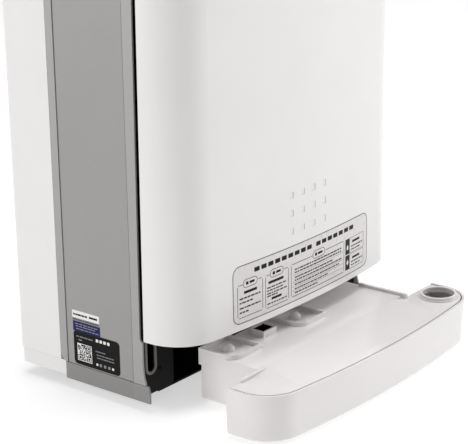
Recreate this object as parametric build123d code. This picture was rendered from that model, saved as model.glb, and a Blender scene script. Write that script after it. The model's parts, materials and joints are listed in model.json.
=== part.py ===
from build123d import *
import os
from math import cos, radians, sin, sqrt

# Compressor dehumidifier, millimetres. +Z up, the front faces -Y, +X is to the right seen from the front.
# The origin is the bottom centre of the box round the whole object, with the water tank drawn out.

# ---------------------------------------------------------------- driving dimensions
WIDTH = 350.0            # over the two side panels
HEIGHT = 520.0           # floor to top cover
REAR_Y = 159.5           # back of the casing
SPACER_H = 4.1           # wall spacers on the back
SKIRT_Z = 10.0           # bottom edge of the side skirts above the floor
PAN_Z = 13.0             # underside of the base pan
PAN_T = 2.0
BODY_TOP_Z = 486.0       # joint between the body and the top cover
CASING_FRONT_Y = 102.6   # joint between the rear casing and the side panels
GROOVE_Z = 28.3          # joint line above the rear skirt
SHEET = 2.0              # side panel and skirt sheet
MOULD = 2.5              # wall of the large mouldings
GAP = 0.4                # joint gap between neighbouring mouldings

# front cover, and the bow it shares with the top cover and the tank's front shell
FRONT_ARC = 1150.0
COVER_HALF = 174.5
COVER_CORNER = 44.0
COVER_APEX_Y = -63.8
COVER_REAR_Y = -4.9
COVER_Z0 = 70.4
COVER_LEAN = 0.0095      # the cover's rear edge and the panel's front edge lean forward going up
MARK_X = (-24.0, -6.4, 11.3, 28.9)   # columns and rows of small sunk marks on the cover
MARK_Z = (185.2, 167.5, 149.4)
MARK_W = 5.6
MARK_H = 6.4
MARK_DEPTH = 0.5

# front frame, between the side panels
FRAME_HALF = 172.5
FRAME_FRONT_Y = -1.0
FRAME_T = 2.5

# water tank
TANK_OUT = 97.5          # how far the tank is drawn out at rest
SHELL_HALF = 172.5
SHELL_CORNER = 38.0
SHELL_APEX_Y = -163.8
SHELL_END_Y = -99.7
SHELL_Z0 = 2.6
SHELL_Z1 = 48.2
SHELL_DRAFT = 1.6
EAR_END_Y = -101.5
LID_LEFT_X = -127.5      # the lid over the tub's narrow rear part, which enters the bay
LID_RIGHT_X = 114.4
LID_REAR_Y = -31.0
LID_TOP_Z = 51.6
LID_SKIRT_T = 1.5
LID_SKIRT_Z = 39.8       # lower edge of the lid's skirt round the tub
LID_JOINT = 1.3          # open joint between the lid and the front shell
SKIRT_GAP = 0.3          # between the lid's skirt and the tub
TUB_LEFT_X = LID_LEFT_X + LID_SKIRT_T + SKIRT_GAP
TUB_RIGHT_X = LID_RIGHT_X - LID_SKIRT_T - SKIRT_GAP
TUB_REAR_Y = LID_REAR_Y - LID_SKIRT_T - SKIRT_GAP
TUB_REAR_Z0 = 3.2
TUB_REAR_Z1 = 49.8
TUB_FRONT_Z0 = 5.5
TUB_FRONT_Z1 = 46.4
TUB_FLOOR_Z = 7.7        # inside bottom
TUB_WALL = 2.2
TUB_ROUND = 4.5          # round of the rear part's bottom edge
EAR_RIB_X = (-154.0, -116.0)   # rib along the rear edge of the lid's left ear
TRAY_X = (-105.5, -1.0)  # centres of the two float trays on the lid
TRAY_Y0 = -72.5
TRAY_W = 44.0
TRAY_D = 41.5
TRAY_H = 4.6
FLOAT_Y = -50.0
FLOAT_R = 6.0
STEM_R = 3.0
INLET_X = -52.0
INLET_Y = -49.5
INLET_W = 20.5
INLET_D = 17.0
INLET_WALL = 1.8
RING_X = 142.0
RING_Y = -126.5
RING_R = 18.7
RING_BORE_R = 16.0

# tank bay
BAY_LEFT_X = -131.0
BAY_RIGHT_X = 119.0
BAY_REAR_Y = 71.0
BAY_CEILING_Z = 69.0
BAY_FLOOR_Z = 2.6
BAY_FLOOR_Y = 16.8       # front edge of the bay's floor, which hangs below the base pan
BAY_WALL = 2.0
SLOT_X = 161.8           # centre line of the side inlet slots
SLOT_R = 5.0
SLOT_RIM = 3.0
SLOT_Z0 = 33.4
SLOT_Z1 = 128.0

# air path and refrigeration
COIL_X0 = -125.0
COIL_X1 = 110.0
COIL_Z0 = 242.0
COIL_Z1 = 450.0
EVAPORATOR_Y = 119.0
CONDENSER_Y = 91.0
COIL_D = 24.0
COIL_ROWS = 8
COIL_TUBE_R = 3.5
BRACKET_X = (-152.0, 138.0)
TRAY_TOP_Z = 238.0
FAN_Z = 345.0
FAN_R = 60.0
FAN_Y0 = 42.0
FAN_Y1 = 78.0
FAN_BLADES = 32
HOUSING_R = 92.0
HOUSING_Y0 = 34.0
HOUSING_Y1 = 84.0
HOUSING_WALL = 2.0
DUCT_Z0 = 440.0          # joint between the blower housing and the duct above it
SHAFT_R = 4.0
RUNNING_FIT = 0.05
MOTOR_R = 39.0
COMPRESSOR_X = 66.0
COMPRESSOR_Y = 113.0
COMPRESSOR_R = 41.0
COMPRESSOR_Z0 = 26.0
COMPRESSOR_Z1 = 204.0
PIPE_R = 2.5

# rear wall
WINDOW_X0 = -136.0
WINDOW_X1 = 121.0
WINDOW_Z0 = 232.0
WINDOW_Z1 = 456.0
DRAIN_X = -120.0
DRAIN_Z = 70.0
GLAND_X = 132.0
GLAND_Z = 52.0

# top
OUTLET_HALF = 90.0
OUTLET_Y0 = 36.0
OUTLET_Y1 = 82.0
LOUVRE_PIN_R = 1.2
LOUVRE_Z = 518.0
PANEL_HALF = 100.0
PANEL_Y0 = -42.0
PANEL_Y1 = 4.0
BUTTON_X = (-78.0, -56.0, -34.0, 56.0, 78.0)
BUTTON_Y = -19.0
BUTTON_W = 14.0
BUTTON_D = 9.0
BUTTON_TRAVEL = 1.2
HANDLE_HALF = 100.0
HANDLE_AXIS_Y = 140.0
HANDLE_AXIS_Z = 512.0
HANDLE_PIN_R = 3.0
HANDLE_POCKET_Y = (104.0, 148.0)
HANDLE_POCKET_Z = 504.0


# ---------------------------------------------------------------- helpers
def block(x0, x1, y0, y1, z0, z1):
    """A box between two corners."""
    centre = Pos((x0 + x1) / 2, (y0 + y1) / 2, (z0 + z1) / 2)
    return centre * Box(x1 - x0, y1 - y0, z1 - z0)


def rod_z(x, y, z0, z1, r):
    return Pos(x, y, (z0 + z1) / 2) * Cylinder(r, z1 - z0)


def rod_y(x, z, y0, y1, r):
    return Pos(x, (y0 + y1) / 2, z) * Rot(90, 0, 0) * Cylinder(r, y1 - y0)


def rod_x(y, z, x0, x1, r):
    return Pos((x0 + x1) / 2, y, z) * Rot(0, 90, 0) * Cylinder(r, x1 - x0)


def front_outline(apex_y, rear_y, inset, half, corner):
    """Flat face: a bowed front with round corners and straight sides, cut off square at rear_y."""
    half = half - inset
    corner = corner - inset
    arc = FRONT_ARC - inset
    apex = apex_y + inset
    arc_y = apex + arc
    corner_x = half - corner
    corner_y = arc_y - sqrt((arc - corner) ** 2 - corner_x ** 2)
    reach = arc / (arc - corner)
    tangent_x = corner_x * reach
    tangent_y = arc_y + (corner_y - arc_y) * reach
    middle_x = corner_x + corner * cos(radians(41))
    middle_y = corner_y - corner * sin(radians(41))
    edges = [
        Line((-half, rear_y), (-half, corner_y)),
        ThreePointArc((-half, corner_y), (-middle_x, middle_y), (-tangent_x, tangent_y)),
        ThreePointArc((-tangent_x, tangent_y), (0, apex), (tangent_x, tangent_y)),
        ThreePointArc((tangent_x, tangent_y), (middle_x, middle_y), (half, corner_y)),
        Line((half, corner_y), (half, rear_y)),
        Line((half, rear_y), (-half, rear_y)),
    ]
    return make_face(Wire(edges))


def cover_outline(rear_y, inset=0.0, half=COVER_HALF):
    return front_outline(COVER_APEX_Y, rear_y, inset, half, COVER_CORNER)


def shell_outline(rear_y, inset=0.0):
    return front_outline(SHELL_APEX_Y, rear_y, inset, SHELL_HALF, SHELL_CORNER)


def prism(face, z0, z1):
    """Extrude a flat XY face from z0 to z1."""
    return extrude(Pos(0, 0, z0) * face, z1 - z0, dir=(0, 0, 1))


def side_plate(points, x0, x1):
    """Extrude a YZ polygon from x0 to x1."""
    face = make_face(Polyline(*[(x0, y, z) for y, z in points], close=True))
    return extrude(face, x1 - x0, dir=(1, 0, 0))


def mirrored(shape):
    return mirror(shape, about=Plane.YZ)


def stadium_y(x, z0, z1, r, y0, y1):
    """An upright slot shape with round ends, extruded along Y."""
    shape = block(x - r, x + r, y0, y1, z0 + r, z1 - r)
    return shape + rod_y(x, z0 + r, y0, y1, r) + rod_y(x, z1 - r, y0, y1, r)


def pipe(points, bend, r):
    """A round tube of straight runs and tangent bends."""
    path = FilletPolyline(*points, radius=bend)
    section = Plane(origin=path @ 0, z_dir=path % 0) * Circle(r)
    return sweep(section, path=path)


def low_edges(shape, front_of_y):
    """The bottom edges of a shape whose middles lie in front of that y."""
    return shape.edges().group_by(Axis.Z)[0].filter_by(lambda edge: edge.center().Y < front_of_y)


def save(name, shape):
    shape.label = name
    export_step(shape, f"parts/{name}.step")


# ---------------------------------------------------------------- base
def base_pan():
    """Flat pan that carries everything, open below the tank bay, with a low rim and compressor studs."""
    half = FRAME_HALF - 1
    rear = REAR_Y - 4.5
    top = PAN_Z + PAN_T
    rim_height = 11
    pan = block(-half, half, 0, rear, PAN_Z, top)
    rim = block(-half, half, 4, rear, top, top + rim_height)
    rim = rim - block(-half + 2, half - 2, 0, rear - 2, top, top + rim_height)
    bay = (BAY_LEFT_X - GAP, BAY_RIGHT_X + GAP, -1, BAY_REAR_Y + BAY_WALL + GAP)
    pan = pan + rim - block(*bay, 0, top + 1)
    for x, y in compressor_feet():
        pan = pan + rod_z(x, y, top, top + 12, 2.5)
    return pan


def foot_places():
    return [(x, y) for x in (-142.0, 142.0) for y in (32.0, 132.0)]


def feet():
    """Four rubber feet, each a disc on a narrower neck."""
    made = []
    for x, y in foot_places():
        pad = fillet(rod_z(x, y, 0, 8, 9).edges(), 1.5)
        made.append(pad + rod_z(x, y, 8, PAN_Z, 6))
    return Compound(children=made)


def side_skirt():
    """Right-hand grey skirt below the side panel, with an inward bottom flange."""
    half = WIDTH / 2
    front = -11.0
    rear = 96.2
    outline = [(front, SKIRT_Z), (rear, SKIRT_Z), (rear, 26.9), (front + 1.5, 26.9), (front, 21.0)]
    skirt = side_plate(outline, half - SHEET, half)
    return skirt + block(half - 12, half - SHEET, 2, rear, SKIRT_Z, SKIRT_Z + SHEET)


def rear_skirt():
    """White skirt round the back of the base, set in a little from the casing above."""
    half = WIDTH / 2 - 1.2
    rear = REAR_Y - 1.5
    front = 96.6
    outer = fillet(block(-half, half, front, rear, 12.5, GROOVE_Z - 0.8).edges().filter_by(Axis.Z), 5)
    outer = outer + block(-half, half, front, front + 12, 12.5, GROOVE_Z - 0.8)
    inner = block(-half + 2, half - 2, front - 1, rear - 2, 0, 60)
    return outer - inner


# ---------------------------------------------------------------- body shell
def side_panel():
    """Right-hand grey side panel: a raised rear rib, a flat field and a narrow front strip."""
    half = WIDTH / 2
    field = half - 0.5
    rear = CASING_FRONT_Y - 0.3
    bottom = 27.3
    top = BODY_TOP_Z - GAP
    above_cover_y = -0.5
    lean = COVER_LEAN * (top - COVER_Z0)
    outline = [
        (-6.6, bottom), (96.0, bottom), (100.2, bottom + 2.2), (rear, bottom + 7.0), (rear, top),
        (above_cover_y - lean, top), (above_cover_y, COVER_Z0 + 2), (-3.4, COVER_Z0 - 1), (-3.4, 45.0),
        (-4.4, 35.0),
    ]
    panel = side_plate(outline, half - SHEET, field)
    rib = side_plate(outline, field, half) & block(0, WIDTH, 93.6, rear, 0, HEIGHT)
    strip = side_plate(outline, field, half) & block(0, WIDTH, -20, 8.6, 0, HEIGHT)
    panel = panel + rib + strip
    panel = panel - block(field - 0.8, WIDTH, 92.5, 93.6, 0, HEIGHT)
    return panel - block(field - 0.6, WIDTH, 8.6, 9.3, 0, HEIGHT)


def screw_places():
    return [(x, z) for x in (-158.0, 150.0) for z in (46.0, 190.0, 330.0, 468.0)]


def rear_casing():
    """White U-shaped casing: the back, with four wall spacers, and the rear part of both sides."""
    half = WIDTH / 2
    outer = block(-half, half, CASING_FRONT_Y, REAR_Y, GROOVE_Z, BODY_TOP_Z - GAP)
    outer = fillet(outer.edges().filter_by(Axis.Z).group_by(Axis.Y)[-1], 6)
    inner_half = half - MOULD
    inner_rear = REAR_Y - MOULD
    casing = outer - block(-inner_half, inner_half, 0, inner_rear, 0, HEIGHT)
    lip = block(inner_half - 2, inner_half, 99.0, CASING_FRONT_Y + 4, 40, 470)
    casing = casing + lip + mirrored(lip)
    casing = casing - block(WINDOW_X0, WINDOW_X1, 150, 170, WINDOW_Z0, WINDOW_Z1)
    for x, z in screw_places():
        casing = casing + rod_y(x, z, inner_rear - 12, inner_rear, 6)
        casing = casing - rod_y(x, z, inner_rear, REAR_Y + 1, 4.4)
        casing = casing - rod_y(x, z, inner_rear - 13, inner_rear, 1.6)
    for column in range(9):
        x = 20 + 12 * column
        casing = casing - stadium_y(x, 80, 150, 1.9, 150, 170)
    for x in (-120, 120):
        for z in (212, 471):
            casing = casing + rod_y(x, z, REAR_Y - 1, REAR_Y + SPACER_H, 6)
    cup = rod_y(DRAIN_X, DRAIN_Z, REAR_Y - 22, inner_rear, 19)
    casing = casing + cup - rod_y(DRAIN_X, DRAIN_Z, REAR_Y - 20, REAR_Y + 1, 17)
    casing = casing - rod_y(DRAIN_X, DRAIN_Z, REAR_Y - 30, REAR_Y, 7.4)
    return casing - rod_y(GLAND_X, GLAND_Z, 150, 170, 9)


def casing_screws():
    """Pan-head screws that hold the rear casing on."""
    made = []
    seat = REAR_Y - MOULD
    top = seat + 1.8
    for x, z in screw_places():
        screw = rod_y(x, z, seat, top, 3.6) + rod_y(x, z, seat - 10, seat, 1.5)
        cross = block(x - 2, x + 2, top - 0.9, top, z - 0.4, z + 0.4)
        cross = cross + block(x - 0.4, x + 0.4, top - 0.9, top, z - 2, z + 2)
        made.append(screw - cross)
    return Compound(children=made)


def front_frame():
    """Dark plate behind the front cover, with the tank opening, side inlet slots and two small pegs."""
    y0 = FRAME_FRONT_Y
    y1 = FRAME_FRONT_Y + FRAME_T
    frame = block(-FRAME_HALF, FRAME_HALF, y0, y1, PAN_Z + PAN_T, BODY_TOP_Z - GAP)
    frame = frame - block(BAY_LEFT_X + BAY_WALL, BAY_RIGHT_X - BAY_WALL, y0 - 1, y1 + 1, 0, BAY_CEILING_Z)
    frame = frame - rod_y(0, FAN_Z, y0 - 1, y1 + 1, 12)
    frame = frame - block(-60, 60, y0 - 1, y1 + 1, 470, 482)
    lip_x = FRAME_HALF - MOULD - 2
    lip = block(lip_x - 2, lip_x, y0 - 13, y0, SLOT_Z1 + 2, BODY_TOP_Z - 4)
    frame = frame + lip + mirrored(lip)
    slot_z0 = SLOT_Z0 + SLOT_RIM
    slot_z1 = SLOT_Z1 - SLOT_RIM
    for side in (-1, 1):
        frame = frame - stadium_y(side * SLOT_X, slot_z0, slot_z1, SLOT_R, y0 - 1, y1 + 1)
        frame = frame + rod_y(side * 147, 34.7, y0 - 1.2, y0, 2)
    return frame


def inlet_rim():
    """Grey rim round the right-hand inlet slot."""
    y0 = FRAME_FRONT_Y - 1.2
    rim = stadium_y(SLOT_X, SLOT_Z0, SLOT_Z1, SLOT_R + SLOT_RIM, y0, FRAME_FRONT_Y)
    return rim - stadium_y(SLOT_X, SLOT_Z0 + SLOT_RIM, SLOT_Z1 - SLOT_RIM, SLOT_R, y0 - 1, FRAME_FRONT_Y + 1)


def tank_bay():
    """Black lining of the tank bay: a low floor, side walls, a back wall and a ceiling with a drip hole."""
    y0 = FRAME_FRONT_Y + FRAME_T
    y1 = BAY_REAR_Y + BAY_WALL
    z0 = BAY_FLOOR_Z - BAY_WALL
    z1 = BAY_CEILING_Z + BAY_WALL
    outer = block(BAY_LEFT_X, BAY_RIGHT_X, y0, y1, PAN_Z + PAN_T, z1)
    outer = outer + block(BAY_LEFT_X, BAY_RIGHT_X, BAY_FLOOR_Y, y1, z0, z1)
    inner_x = (BAY_LEFT_X + BAY_WALL, BAY_RIGHT_X - BAY_WALL)
    inner = block(*inner_x, y0 - 1, BAY_REAR_Y, BAY_FLOOR_Z, BAY_CEILING_Z)
    return outer - inner - rod_z(INLET_X, INLET_Y + TANK_OUT, BAY_CEILING_Z - 1, z1 + 1, 7.5)


def cover_front_y(x):
    """Where the cover's bowed front lies at one x."""
    return COVER_APEX_Y + FRONT_ARC - sqrt(FRONT_ARC ** 2 - x ** 2)


def front_cover():
    """Glossy white front cover: a deep bowed shell with a closed bottom and small sunk marks."""
    top = BODY_TOP_Z - GAP
    outer = prism(cover_outline(COVER_REAR_Y), COVER_Z0, top)
    outer = fillet(low_edges(outer, COVER_REAR_Y - 1), 1.2)
    inner = prism(cover_outline(COVER_REAR_Y + 5, MOULD), COVER_Z0 + MOULD, top + 1)
    lean = COVER_LEAN * (top - COVER_Z0)
    behind = [(COVER_REAR_Y, COVER_Z0), (COVER_REAR_Y - lean, top), (30, top), (30, COVER_Z0)]
    cover = outer - inner - side_plate(behind, -WIDTH, WIDTH)
    for x in MARK_X:
        y1 = cover_front_y(x) + MARK_DEPTH
        for z in MARK_Z:
            cover = cover - block(x - MARK_W / 2, x + MARK_W / 2, y1 - 3, y1, z - MARK_H / 2, z + MARK_H / 2)
    return cover


# ---------------------------------------------------------------- top
def top_cover():
    """White top cover with the air outlet, the control panel opening and the handle pocket."""
    half = WIDTH / 2
    body = block(-half, half, -12, REAR_Y, BODY_TOP_Z, HEIGHT)
    body = fillet(body.edges().filter_by(Axis.Z).group_by(Axis.Y)[-1], 6)
    nose = prism(cover_outline(-11, 0, half), BODY_TOP_Z, HEIGHT)
    outer = body + nose
    outer = fillet(outer.edges().group_by(Axis.Z)[-1], 9)
    hollow_top = HEIGHT - MOULD
    hollow = block(-half + MOULD, half - MOULD, -12, REAR_Y - MOULD, BODY_TOP_Z - 1, hollow_top)
    hollow = hollow + prism(cover_outline(-11, MOULD, half), BODY_TOP_Z - 1, hollow_top)
    hollow = fillet(hollow.edges().group_by(Axis.Z)[-1], 7)
    cover = outer - hollow

    outlet = (-OUTLET_HALF - 0.6, OUTLET_HALF + 0.6, OUTLET_Y0 - 0.6, OUTLET_Y1 + 2.4)
    cover = cover - block(*outlet, HEIGHT - 20, HEIGHT + 1)
    boss = block(OUTLET_HALF + 0.6, OUTLET_HALF + 8, OUTLET_Y1 - 5, OUTLET_Y1 + 5, hollow_top - 4, hollow_top)
    cover = cover + boss + mirrored(boss)
    cover = cover - rod_x(OUTLET_Y1, LOUVRE_Z, -OUTLET_HALF - 5, OUTLET_HALF + 5, LOUVRE_PIN_R + RUNNING_FIT)

    cover = cover - block(-PANEL_HALF, PANEL_HALF, PANEL_Y0, PANEL_Y1, HEIGHT - 20, HEIGHT + 1)

    pocket_y0, pocket_y1 = HANDLE_POCKET_Y
    pocket = (-HANDLE_HALF, HANDLE_HALF, pocket_y0, pocket_y1)
    lining_x = HANDLE_HALF + 2.5
    lining = block(-lining_x, lining_x, pocket_y0 - 2, pocket_y1 + 2, HANDLE_POCKET_Z - 2, hollow_top)
    cover = cover + lining - block(*pocket, HANDLE_POCKET_Z, HEIGHT + 1)
    return cover - rod_x(
        HANDLE_AXIS_Y, HANDLE_AXIS_Z, -HANDLE_HALF - 2, HANDLE_HALF + 2, HANDLE_PIN_R + RUNNING_FIT
    )


def outlet_guard():
    """Fixed finger guard below the outlet flap."""
    z0 = HEIGHT - 13
    x_half = OUTLET_HALF + 4
    frame = block(-x_half, x_half, OUTLET_Y0 - 1.5, OUTLET_Y1 + 1.5, z0, z0 + 4)
    frame = frame - block(-x_half + 4, x_half - 4, OUTLET_Y0 + 2, OUTLET_Y1 - 2, z0 - 1, z0 + 5)
    posts = block(OUTLET_HALF + 1, x_half, OUTLET_Y0, OUTLET_Y0 + 12, z0 + 4, HEIGHT - MOULD)
    guard = frame + posts + mirrored(posts)
    for index in range(17):
        x = -80 + 10 * index
        guard = guard + block(x - 0.8, x + 0.8, OUTLET_Y0, OUTLET_Y1, z0, z0 + 4)
    return guard


def outlet_flap():
    """Hinged flap over the air outlet, with its hinge pins at the rear edge."""
    z0 = LOUVRE_Z - 1.5
    flap = block(-OUTLET_HALF, OUTLET_HALF, OUTLET_Y0, OUTLET_Y1, z0, z0 + 3)
    flap = flap + rod_x(OUTLET_Y1, LOUVRE_Z, -OUTLET_HALF, OUTLET_HALF, 1.5)
    flap = flap + rod_x(OUTLET_Y1, LOUVRE_Z, -OUTLET_HALF - 4, OUTLET_HALF + 4, LOUVRE_PIN_R)
    return flap - block(-22, 22, OUTLET_Y0 - 1, OUTLET_Y0 + 5, z0 + 1.6, z0 + 4)


def control_panel():
    """Control panel plate with openings for the buttons and the display."""
    top = HEIGHT - 0.5
    edge = 0.3
    panel = block(-PANEL_HALF + edge, PANEL_HALF - edge, PANEL_Y0 + edge, PANEL_Y1 - edge, top - 3, top)
    flange_x = PANEL_HALF + 3
    flange_z = HEIGHT - MOULD
    panel = panel + block(-flange_x, flange_x, PANEL_Y0 - 3, PANEL_Y1 + 3, flange_z - 2, flange_z)
    panel = panel - block(-18, 18, BUTTON_Y - 9, BUTTON_Y + 9, top - 10, top + 1)
    for x in BUTTON_X:
        panel = panel - button_block(x, GAP, HEIGHT - 20, HEIGHT + 1)
    return panel


def display_window():
    """Smoked window over the display."""
    top = HEIGHT - 0.5
    return block(-18, 18, BUTTON_Y - 9, BUTTON_Y + 9, top - 4.5, top)


def button_block(x, grow, z0, z1):
    """The outline of one button cap, grown by that much on every side."""
    half_x = BUTTON_W / 2 + grow
    half_y = BUTTON_D / 2 + grow
    return block(x - half_x, x + half_x, BUTTON_Y - half_y, BUTTON_Y + half_y, z0, z1)


def button(x):
    """One push button: a cap with a retaining flange below the panel."""
    cap = button_block(x, 0, 513.2, HEIGHT)
    cap = fillet(cap.edges().group_by(Axis.Z)[-1], 0.5)
    flange_z = HEIGHT - MOULD - 2 - 0.3
    flange = block(x - 9, x + 9, BUTTON_Y - 6.5, BUTTON_Y + 6.5, flange_z - 1.5, flange_z)
    return cap + flange + rod_z(x, BUTTON_Y, 510.4, 513.2, 2.5)


def control_board():
    """Circuit board with one switch under each button, a display module and two mounting posts."""
    board = block(-96, 96, PANEL_Y0 + 4, PANEL_Y1 - 2, 503.0, 504.6)
    for x in BUTTON_X:
        board = board + block(x - 3, x + 3, BUTTON_Y - 3, BUTTON_Y + 3, 504.6, 508.6)
    board = board + block(-16, 16, BUTTON_Y - 7, BUTTON_Y + 7, 504.6, 513.0)
    for x in (-91, 91):
        board = board + rod_z(x, PANEL_Y1 - 6, 504.6, HEIGHT - MOULD - 2, 3)
    return board


def carry_handle():
    """Fold-down carrying handle: a bar, two arms and two pivot pins."""
    outer = HANDLE_HALF - 1.0
    z0 = HANDLE_AXIS_Z - 5
    z1 = HANDLE_AXIS_Z + 5
    bar = block(-outer, outer, 107, 119, z0, z1)
    bar = fillet(bar.edges().filter_by(Axis.X), 3.5)
    handle = bar
    for side in (-1, 1):
        x0, x1 = sorted((side * outer, side * (outer - 8)))
        handle = handle + block(x0, x1, 112, HANDLE_AXIS_Y, z0, z1)
        handle = handle + rod_x(HANDLE_AXIS_Y, HANDLE_AXIS_Z, x0, x1, 5)
        pin_x0, pin_x1 = sorted((side * outer, side * (HANDLE_HALF + 1.8)))
        handle = handle + rod_x(HANDLE_AXIS_Y, HANDLE_AXIS_Z, pin_x0, pin_x1, HANDLE_PIN_R)
    return handle


# ---------------------------------------------------------------- back
def intake_grille():
    """Pull-off rear intake grille: a frame with upright slots and a finger recess."""
    x0 = WINDOW_X0 + GAP
    x1 = WINDOW_X1 - GAP
    z0 = WINDOW_Z0 + GAP
    z1 = WINDOW_Z1 - GAP
    y0 = REAR_Y - 4
    grille = block(x0, x1, y0, REAR_Y - 0.5, z0, z1)
    pitch = 7.6
    count = int((x1 - x0 - 20) / pitch)
    start = (x0 + x1) / 2 - pitch * (count - 1) / 2
    thirds = [(z0 + 12, z0 + 72), (z0 + 80, z0 + 144), (z0 + 152, z1 - 12)]
    slots = []
    for index in range(count):
        x = start + pitch * index
        slots += [block(x - 2.1, x + 2.1, y0 - 1, REAR_Y + 1, low, high) for low, high in thirds]
    grille = grille - slots
    frame_wall = block(x0, x1, y0 - 8, y0, z0, z1) - block(x0 + 2, x1 - 2, y0 - 9, y0 + 1, z0 + 2, z1 - 2)
    return grille + frame_wall


def air_filter():
    """Washable filter: a frame with cross ribs and a thin mesh sheet, held in the grille."""
    x0 = WINDOW_X0 + 3
    x1 = WINDOW_X1 - 3
    z0 = WINDOW_Z0 + 3
    z1 = WINDOW_Z1 - 3
    y0 = REAR_Y - 10
    y1 = REAR_Y - 4
    frame = block(x0, x1, y0, y1, z0, z1) - block(x0 + 6, x1 - 6, y0 - 1, y1 + 1, z0 + 6, z1 - 6)
    for share in (0.25, 0.5, 0.75):
        x = x0 + (x1 - x0) * share
        frame = frame + block(x - 1.2, x + 1.2, y0, y1, z0, z1)
    middle = (z0 + z1) / 2
    frame = frame + block(x0, x1, y0, y1, middle - 1.2, middle + 1.2)
    return frame + block(x0 + 5, x1 - 5, y0 + 2.6, y0 + 3.4, z0 + 5, z1 - 5)


def drain_nozzle():
    """Hose nozzle for continuous drainage, recessed in the rear casing."""
    body = rod_y(DRAIN_X, DRAIN_Z, REAR_Y - 34, REAR_Y - 22.2, 9)
    neck = rod_y(DRAIN_X, DRAIN_Z, REAR_Y - 22.2, REAR_Y - 5, 7)
    return body + neck - rod_y(DRAIN_X, DRAIN_Z, REAR_Y - 30, REAR_Y, 4.5)


def drain_cap():
    """Rubber cap over the drain nozzle, with a grip disc."""
    sleeve = rod_y(DRAIN_X, DRAIN_Z, REAR_Y - 17, REAR_Y - 3, 10)
    sleeve = sleeve - rod_y(DRAIN_X, DRAIN_Z, REAR_Y - 18, REAR_Y - 4.6, 7.3)
    grip = rod_y(DRAIN_X, DRAIN_Z, REAR_Y - 3, REAR_Y - 0.6, 12)
    return sleeve + grip


def cord_gland():
    """Bush where the mains cord enters the rear casing."""
    bush = rod_y(GLAND_X, GLAND_Z, REAR_Y - 12, REAR_Y - MOULD - 0.2, 12)
    bush = bush + rod_y(GLAND_X, GLAND_Z, REAR_Y - MOULD - 0.2, REAR_Y, 8.6)
    return bush - rod_y(GLAND_X, GLAND_Z, REAR_Y - 20, REAR_Y + 1, 3.6)


# ---------------------------------------------------------------- refrigeration and fan
def coil(y0):
    """Finned block with round return bends on both ends."""
    y1 = y0 + COIL_D
    core = block(COIL_X0, COIL_X1, y0, y1, COIL_Z0, COIL_Z1)
    pitch = (COIL_Z1 - COIL_Z0) / COIL_ROWS
    for row in range(COIL_ROWS):
        z = COIL_Z0 + pitch * (row + 0.5)
        for x_end, side in ((COIL_X0, -1), (COIL_X1, 1)):
            bend = Torus(pitch / 4, COIL_TUBE_R)
            bend = Pos(x_end, y0 + COIL_D / 2, z) * Rot(90, 0, 0) * bend
            keep = block(x_end, x_end + 40, y0, y1, z - 40, z + 40)
            if side < 0:
                keep = block(x_end - 40, x_end, y0, y1, z - 40, z + 40)
            core = core + (bend & keep)
    return core


def coil_bracket(x):
    """Upright plate beside the coils."""
    plate = block(x, x + 2, 86, 147, PAN_Z + PAN_T, 462)
    return plate - block(x - 1, x + 3, 98, 136, 60, 200)


def drip_tray():
    """Tray under the coils with a tongue and a spout above the tank's inlet."""
    x0 = BRACKET_X[0] + 2
    x1 = BRACKET_X[1]
    z0 = TRAY_TOP_Z - 18
    spout_y = INLET_Y + TANK_OUT
    outer = block(x0, x1, 86, 147, z0, TRAY_TOP_Z)
    outer = outer + block(INLET_X - 20, INLET_X + 20, spout_y - 14, 88, z0, TRAY_TOP_Z)
    inner = block(x0 + 2, x1 - 2, 88, 145, z0 + 2, TRAY_TOP_Z + 1)
    inner = inner + block(INLET_X - 18, INLET_X + 18, spout_y - 12, 90, z0 + 2, TRAY_TOP_Z + 1)
    spout = rod_z(INLET_X, spout_y, 63, z0 + 1, 6)
    pipe_x = COMPRESSOR_X + COMPRESSOR_R + 17
    pipe_y = EVAPORATOR_Y + COIL_D / 2
    tray = outer - inner + spout + rod_z(pipe_x, pipe_y, z0, TRAY_TOP_Z, 6)
    return tray - rod_z(INLET_X, spout_y, 60, z0 + 4, 4.2) - rod_z(pipe_x, pipe_y, z0 - 1, 260, 3.5)


def coil_rests():
    """Two rubber strips between the drip tray and the coils."""
    made = []
    for x in (COIL_X0 + 8, COIL_X1 - 20):
        made.append(block(x, x + 12, CONDENSER_Y, EVAPORATOR_Y + COIL_D, TRAY_TOP_Z - 16, COIL_Z0))
    return Compound(children=made)


def compressor_feet():
    reach = COMPRESSOR_R + 3.0
    places = []
    for angle in (90, 200, 340):
        x = COMPRESSOR_X + reach * cos(radians(angle)) * 1.15
        y = COMPRESSOR_Y + (reach - 12) * sin(radians(angle))
        places.append((x, y))
    return places


def compressor():
    """Hermetic rotary compressor on a foot plate, with its terminal cap."""
    can = rod_z(COMPRESSOR_X, COMPRESSOR_Y, COMPRESSOR_Z0 + 2, COMPRESSOR_Z1 - 12, COMPRESSOR_R - 3)
    can = fillet(can.edges(), 14)
    plate = Pos(COMPRESSOR_X, COMPRESSOR_Y, 0) * plan_plate(52, 30, COMPRESSOR_Z0, COMPRESSOR_Z0 + 3)
    holes = [rod_z(x, y, 0, 60, 2.8) for x, y in compressor_feet()]
    cap = rod_z(COMPRESSOR_X + 8, COMPRESSOR_Y, COMPRESSOR_Z1 - 16, COMPRESSOR_Z1, 16)
    neck = rod_z(COMPRESSOR_X, COMPRESSOR_Y, COMPRESSOR_Z0, COMPRESSOR_Z0 + 20, 24)
    return can + neck + plate + cap - holes


def plan_plate(half_x, half_y, z0, z1):
    """Flat plate with well-rounded corners, centred on the Z axis."""
    plate = block(-half_x - 8, half_x + 8, -half_y - 8, half_y + 8, z0, z1)
    return fillet(plate.edges().filter_by(Axis.Z), 12)


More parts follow.
